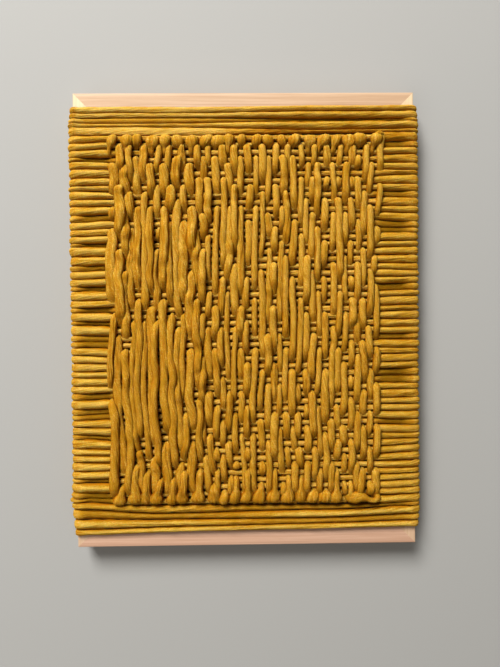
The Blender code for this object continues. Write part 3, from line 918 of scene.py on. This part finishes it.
# Each column sways and strays, and the weave's left edge wanders
EDGE_STRAY, STRAY, EDGE_COLUMNS = 0.8, 2.1, 3
UP_STRAY, DOWN_STRAY = (-0.7, 0.7), (-0.8, 0.8)
LEFT_SINUOUS, RIGHT_SINUOUS, EDGE_WANDER = 1.9 * MM, 0.5 * MM, 2.8 * MM
PAST_EDGE, TOP_SHIFT, FOOT_SHIFT = 172 * MM, (0.2, 4.8), (0.6, 3.6)
UNDER_TOP_DIP, OVER_LAST_COLUMN = 2.6 * MM, 1.5 * MM
left_edge = EDGE_WANDER * wander(np.random.RandomState(SEED + 9), ROWS, spacing=110)
for column in range(COLUMNS):
    goes_up = column % 2 == 0
    x = -COLUMNS_HALF_WIDTH + column * COLUMN_PITCH
    dips = dips_of[column]
    stray = EDGE_STRAY if column < EDGE_COLUMNS else STRAY
    shift_at = [draw.uniform(-1, 1) * stray * MM for _ in dips]
    places = [turn_y(n, x) for n in dips]
    if goes_up:
        places = [PAST_EDGE] + places
        shift_at = [between(TOP_SHIFT)] + shift_at
    else:
        places = places + [-PAST_EDGE]
        shift_at = shift_at + [shift_at[-1] - between(FOOT_SHIFT)]
    shift = np.interp(-row_y, -np.array(places), shift_at)
    shift = np.convolve(np.pad(shift, 12, mode="edge"), np.ones(25) / 25, mode="valid")
    sinuous = LEFT_SINUOUS if column < LONG_COLUMNS else RIGHT_SINUOUS
    col_x[column] = bowed(x, row_y) + shift + sinuous * wander(draw, ROWS, spacing=36)
    col_x[column] += left_edge * max(0, 1 - column / 9)
    floats_of.append([])
    if goes_up:
        knob_top = gap_below(-1, x) - KNOB_IN + between(UP_STRAY)
        lay_float(column, knob_top, gap_below(dips[0] - 1, x), "knob up")
    for high_dip, low_dip in zip(dips, dips[1:]):
        start = gap_below(high_dip, x) - (UNDER_TOP_DIP if high_dip == 0 else 0)
        if high_dip == 0 and column == COLUMNS - 1:
            start = gap_below(-1, x) + OVER_LAST_COLUMN
        lay_float(column, start, gap_below(low_dip - 1, x), "float")
    if not goes_up:
        kind = "float" if column >= NO_KNOB_COLUMNS else "knob down"
        foot = gap_below(LAST_TURN, x) + KNOB_IN + between(DOWN_STRAY)
        lay_float(column, gap_below(dips[-1], x), foot, kind)


def smooth_rows(values, count):
    """values averaged along each column over count rows."""
    half = count // 2
    padded = np.pad(values, ((0, 0), (half, half)), mode="edge")
    total = np.cumsum(np.pad(padded, ((0, 0), (1, 0))), axis=1)
    return (total[:, 2 * half + 1:] - total[:, :-2 * half - 1]) / (2 * half + 1)


# Neighbouring floats press each other aside, and ride up where there is no room
ROUNDS, CLOSEST, HOMEWARD, TINY = 70, 0.85, 0.04, 1e-9
FARTHEST_STEP, FARTHEST_ASIDE, FARTHEST_UP = 0.4 * MM, 2.4 * MM, 2.2 * MM
home_x, lowest_z = col_x.copy(), col_z.copy()
size = np.stack([col_wide, col_high])
for _ in range(ROUNDS):
    place = np.stack([col_x, col_z])
    move = np.zeros_like(place)
    for apart in (1, 2):
        left, right = np.s_[:, :-apart], np.s_[:, apart:]
        reach = size[left] + size[right]
        away = place[right] - place[left]
        near = np.sqrt(((away / reach) ** 2).sum(axis=0)) + TINY
        short = np.maximum(CLOSEST - near, 0)
        slope = away / reach ** 2 / near
        push = 0.5 * short / ((slope ** 2).sum(axis=0) + TINY)
        move[right] += push * slope / 2
        move[left] -= push * slope / 2
    move_x, move_z = np.clip(move, -FARTHEST_STEP, FARTHEST_STEP)
    col_x += smooth_rows(move_x, 15)
    col_x += (home_x - col_x) * HOMEWARD
    col_x = home_x + np.clip(col_x - home_x, -FARTHEST_ASIDE, FARTHEST_ASIDE)
    col_z += smooth_rows(move_z * col_over, 15)
    col_z = np.where(col_over, np.clip(col_z, lowest_z, lowest_z + FARTHEST_UP), DIP_Z)
col_x = smooth_rows(col_x, 9)

# The loose floats on the left swell into the room that is left between them
MOST_ROOM, SWELL_PART = 1.5 * MM, 3.5
free = col_x[1:] - col_x[:-1] - (col_wide[1:] + col_wide[:-1])
free = np.clip(free, 0, MOST_ROOM) / SWELL_PART
free *= np.clip((LONG_COLUMNS + 1 - np.arange(COLUMNS - 1)) / 4, 0, 1)[:, None]
swell = np.pad(free, ((0, 1), (0, 0))) + np.pad(free, ((1, 0), (0, 0)))
col_wide += smooth_rows(swell * col_over, 21) * np.clip((col_wide - TIP_WIDE) / (1.2 * MM), 0, 1)
col_z = np.where(
    col_over, smooth_rows(np.where(col_over, col_z, lowest_z + 1 * MM), 9), DIP_Z)


# The end of the cord, bent left over the foot of the columns before it: x from its own column,
# y, z and half width in mm
LAST_BEND = (
    (-0.3, -157.2, 31.4, 2.9), (-1.4, -160.4, 31.6, 2.7), (-4.4, -161.9, 31.6, 2.2),
    (-8.6, -160.9, 31.6, 1.9), (-12.4, -158.4, 32.0, 3.0), (-15.6, -157.8, 32.4, 4.4),
    (-21.0, -158.4, 32.4, 4.8), (-25.6, -159.2, 31.4, 4.2), (-28.0, -159.6, 28.0, 2.6),
    (-29.0, -159.8, 24.0, 1.6))
BEND_HIGH, BEND_SLACK = 2.6 * MM, 0.4
# A dip's heights where it enters a gap between turns, just inside it, and below the topmost
# turn, and half the length that lies level under a turn
GAP_Z, GAP_IN_Z, TOP_GAP_Z, UNDER_TURN = 27.0 * MM, 23.6 * MM, 24.2 * MM, 1.5 * MM
# A knob's ends behind the outermost turn: height, half width and half height
KNOB_ROOT, KNOB_NECK = (23.2 * MM, 2.2 * MM, 1.3 * MM), (27.5 * MM, 2.6 * MM, 1.4 * MM)
# The same of a bend behind the outermost turn, and of the one that crosses in front of it
BEND_BEHIND, BEND_IN_FRONT = (DIP_Z - 0.3 * MM, TIP_WIDE, TIP_HIGH), (32.0 * MM, 2.5 * MM, 2.2 * MM)


def column_run(column):
    """A column's points from the top down: x, y, z, half width, half height, slack, split."""
    x0 = -COLUMNS_HALF_WIDTH + column * COLUMN_PITCH
    goes_up = column % 2 == 0
    run = []

    def at(y, z, wide=TIP_WIDE, high=TIP_HIGH):
        """Adds a point on the column's line."""
        x = float(np.interp(-y, -row_y, col_x[column]))
        run.append((x, y, z, wide, high, 0.0, 0.0))

    def dip(n):
        """The cord's way under turn n."""
        upper, lower = gap_below(n - 1, x0), gap_below(n, x0)
        at(upper, GAP_Z)
        at(upper - 0.4 * MM, GAP_IN_Z)
        at(turn_y(n, x0) + UNDER_TURN, DIP_Z)
        at(turn_y(n, x0) - UNDER_TURN, DIP_Z)
        at(lower + 0.4 * MM, GAP_IN_Z)
        if n == 0:
            at(lower - 1.8 * MM, TOP_GAP_Z)
        else:
            at(lower, GAP_Z)

    dips = list(dips_of[column])
    if goes_up and column < COLUMNS - 2:
        at(gap_below(-1, x0) - 0.5 * MM, *KNOB_ROOT)
        at(gap_below(-1, x0) - KNOB_IN, *KNOB_NECK)
    for k, (first, last) in enumerate(floats_of[column]):
        if column == COLUMNS - 1 and k == 0:
            dips.pop(0)
        elif k > 0 or not goes_up:
            dip(dips.pop(0))
        rows = slice(first, last + 1)
        run += list(zip(col_x[column, rows], row_y[rows], *(
            values[column, rows] for values in (col_z, col_wide, col_high, col_slack, col_split))))
    if goes_up:
        dip(dips.pop(0))
    elif column == COLUMNS - 1:
        run += [
            (x0 + x * MM, y * MM, z * MM, wide * MM, BEND_HIGH, BEND_SLACK, 0.0)
            for x, y, z, wide in LAST_BEND]
    else:
        at(gap_below(LAST_TURN, x0) + KNOB_IN, *KNOB_NECK)
        at(gap_below(LAST_TURN, x0) + 0.5 * MM, *KNOB_ROOT)
    return run


def whole_darned_path():
    """Every column and the bends behind the outermost turns, end to end, with headings.

    The last bend but one, at the top right, crosses in front of the turns.
    """
    points, headings = [], []
    for column in range(COLUMNS - 1):
        run = column_run(column)
        way = -1.0
        if column % 2 == 0:
            run = run[::-1]
            way = 1.0
        points += run
        headings += [(0.0, way, 0.0)] * len(run)
        x, y = run[-1][:2]
        ahead_x = column_run(column + 1)[0 if way > 0 else -1][0]
        bend = BEND_IN_FRONT if column == COLUMNS - 2 else BEND_BEHIND
        for share in (0.0, 0.2, 0.5, 0.8, 1.0):
            angle = math.pi * share
            points.append((
                x + (ahead_x - x) * (1 - math.cos(angle)) / 2,
                y + way * (0.3 + 1.2 * math.sin(angle)) * MM, *bend, 0.0, 0.0))
            headings.append((math.sin(angle), way * math.cos(angle), 0.0))
    run = column_run(COLUMNS - 1)
    points += run
    bent = len(LAST_BEND) - 1
    headings += [(0.0, -1.0, 0.0)] * (len(run) - bent)
    headings += [(-0.7, -0.7, 0.0), (-1.0, 0.1, 0.0)] + [(-1.0, 0.0, 0.0)] * (bent - 2)
    return np.array(points), np.array(headings)


def resample(values, run, step):
    """values at even steps along the run."""
    places = np.linspace(0, run[-1], int(run[-1] / step) + 1)
    return np.stack([np.interp(places, run, column) for column in values.T], axis=1)


def soften(values, sigma):
    """Columns of values blurred along the cord by a bell curve sigma samples wide."""
    reach = int(3 * sigma) + 1
    bell = np.exp(-0.5 * (np.arange(-reach, reach + 1) / sigma) ** 2)
    bell /= bell.sum()
    padded = np.pad(values, ((reach, reach), (0, 0)), mode="edge")
    return np.stack([np.convolve(column, bell, mode="valid") for column in padded.T], axis=1)


FINE_STEP, TRACK_STEP, FINE_BLUR, SINK_BLUR = 0.4 * MM, 1.35 * MM, 2.4, 1.2
DARNED_TWIST, LOOSE_TWIST_LESS, DARNED_SIDES, JOIN_SEARCH = 60 * MM, 0.75, 20, 80
LOW_BROWN, LEFT_BROWN, SINK_PAINTED_SHADE, STEEPEST = 0.02, 0.02, 0.27, 0.7
points, headings = whole_darned_path()
track = np.concatenate([points, headings], axis=1)
track = resample(track, length_along(track), FINE_STEP)
track = soften(track, FINE_BLUR)
track = resample(track, length_along(track), TRACK_STEP)
count = len(track)
loose, split = track[:, 5], track[:, 6]
spin_rate = 2 * math.pi / DARNED_TWIST * (1 - LOOSE_TWIST_LESS * loose)
turned = np.concatenate([[0], np.cumsum(np.diff(length_along(track)) * spin_rate[1:])])
spin = turned + 0.8 * wander(draw, count, spacing=40)

# A float gets painted shade where it goes down into its lower dip, and is a little browner all
# along in the lower half of the weave and on the left
sinks = np.gradient(track[:, 2]) * np.sign(np.gradient(track[:, 1])) / TRACK_STEP
sinks = soften(np.clip(sinks, 0, STEEPEST)[:, None], SINK_BLUR)[:, 0]
browning_and_painted_shade = LOW_BROWN + LEFT_BROWN * ease(-track[:, 0] / (60 * MM))
browning_and_painted_shade *= ease((60 * MM - track[:, 1]) / (90 * MM))
browning_and_painted_shade += SINK_PAINTED_SHADE * sinks

# Three pieces of about the same length, which join where the cord is hidden in a dip
joins = np.linspace(0, count - 1, 4).astype(int)
for k in (1, 2):
    joins[k] += np.argmin(track[joins[k]:joins[k] + JOIN_SEARCH, 2])
for name, start, end in zip(("weft_left", "weft_middle", "weft_right"), joins, joins[1:]):
    part = slice(start, end + 1)
    aside = np.cross(track[part, 7:10], (0, 0, 1))
    piece = cord_object(
        name, track[part, :3], aside, track[part, 3], track[part, 4], spin[part], loose[part],
        split[part], np.zeros(len(aside)), browning_and_painted_shade[part], DARNED_SIDES, start + 7)
    finish_cord(piece, "weft")


# The studio
# A pale floor that the hanging lies on, one large soft light beyond its top edge to the left,
# and a camera straight above, a little low and to the side.

bpy.ops.object.select_all(action="DESELECT")
bpy.ops.mesh.primitive_plane_add(size=6, location=(0, 0, -0.05 * MM))
floor = bpy.context.object
floor.name = "floor"
paper, paper_tree, paper_shader = new_material("pale paper")
plug(paper_tree, paper_shader, [("Base Color", (0.37, 0.371, 0.365, 1)), ("Roughness", 0.9)])
floor.data.materials.append(paper)


def soft_light(name, place, size, power):
    """A square, slightly warm lamp that faces the middle of the hanging."""
    lamp = bpy.data.lights.new(name, "AREA")
    lamp.shape = "SQUARE"
    lamp.size = size
    lamp.energy = power
    lamp.color = (1.0, 0.98, 0.95)
    stand = new_object(name, lamp)
    stand.location = place
    x, y, z = place
    stand.rotation_euler = (math.atan2(math.hypot(x, y), z), 0, math.atan2(x, -y))


soft_light("window light", (-0.85, 1.85, 1.85), size=1.1, power=118)
soft_light("room light", (-0.6, -0.7, 1.1), size=0.8, power=3.5)
world = bpy.data.worlds.new("soft room")
world.use_nodes = True
plug(world.node_tree, world.node_tree.nodes["Background"], [
    ("Color", (1.0, 0.93, 0.81, 1)), ("Strength", 0.22)])
bpy.context.scene.world = world
film = bpy.context.scene.view_settings
film.view_transform, film.gamma, film.exposure = "Standard", 0.86, 0.15

camera_data = bpy.data.cameras.new("camera")
camera_data.lens = 27.04
camera_data.sensor_width = 36
camera = new_object("camera", camera_data)
camera.location = (-1.7 * MM, -7.2 * MM, 474.4 * MM)
camera.rotation_euler = (math.radians(-0.63), math.radians(-0.72), math.radians(-0.51))
bpy.context.scene.camera = camera
